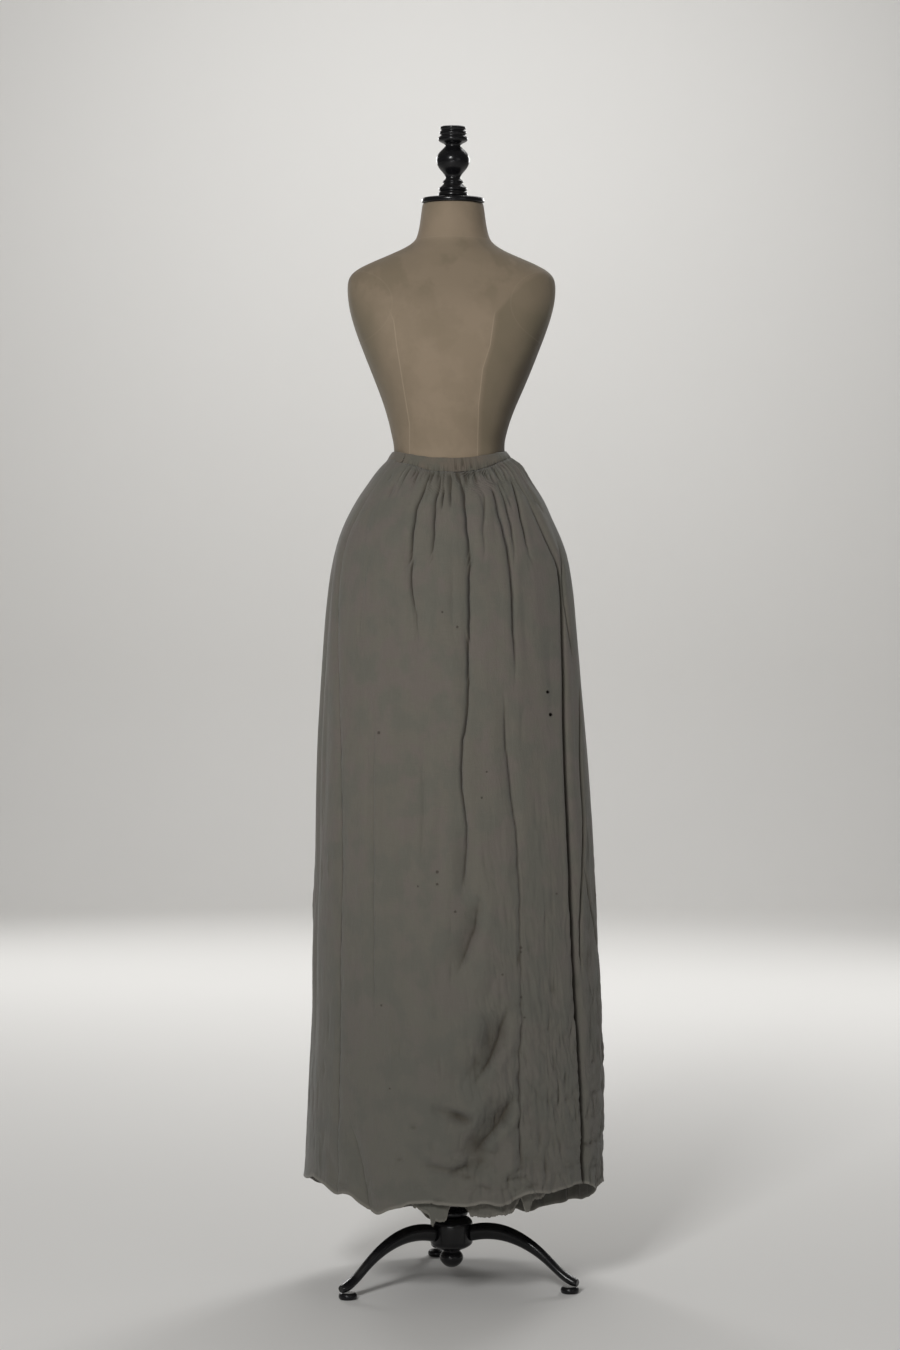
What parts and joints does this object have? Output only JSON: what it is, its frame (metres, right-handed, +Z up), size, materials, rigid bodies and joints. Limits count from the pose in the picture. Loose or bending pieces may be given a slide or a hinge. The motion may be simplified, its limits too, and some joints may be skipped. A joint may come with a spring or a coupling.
{
  "type": "long gathered skirt on a limbless dress form with its stand",
  "caption": "Long grey gathered skirt with a narrow waistband and a ragged hem, longer behind, on a smooth limbless dress form with a turned knob and a three-legged turned stand.",
  "frame": {"origin": "on the floor, under the middle of the stand's pole", "axes": "+Z up, -Y towards the front of the skirt, +X to the viewer's right when facing the front"},
  "size_m": [0.4345, 0.3764, 1.6741],
  "materials": {
    "skirt_cloth": "soft, worn, matt grey woven cloth with faint stains",
    "band_cloth": "matt grey-brown woven cloth",
    "form_linen": "tight matt beige linen",
    "black_lacquer": "glossy black lacquer on turned wood"
  },
  "bodies": {
    "root": {"skirt_front": "skirt_cloth", "skirt_back": "skirt_cloth", "skirt_side_right": "skirt_cloth", "skirt_side_left": "skirt_cloth", "waistband": "band_cloth", "form_body": "form_linen", "neck_plate": "black_lacquer", "finial": "black_lacquer", "stand_pole": "black_lacquer", "stand_hub": "black_lacquer", "stand_leg_1": "black_lacquer", "stand_leg_2": "black_lacquer", "stand_leg_3": "black_lacquer", "stand_foot_1": "black_lacquer", "stand_foot_2": "black_lacquer", "stand_foot_3": "black_lacquer"}
  },
  "joints": []
}
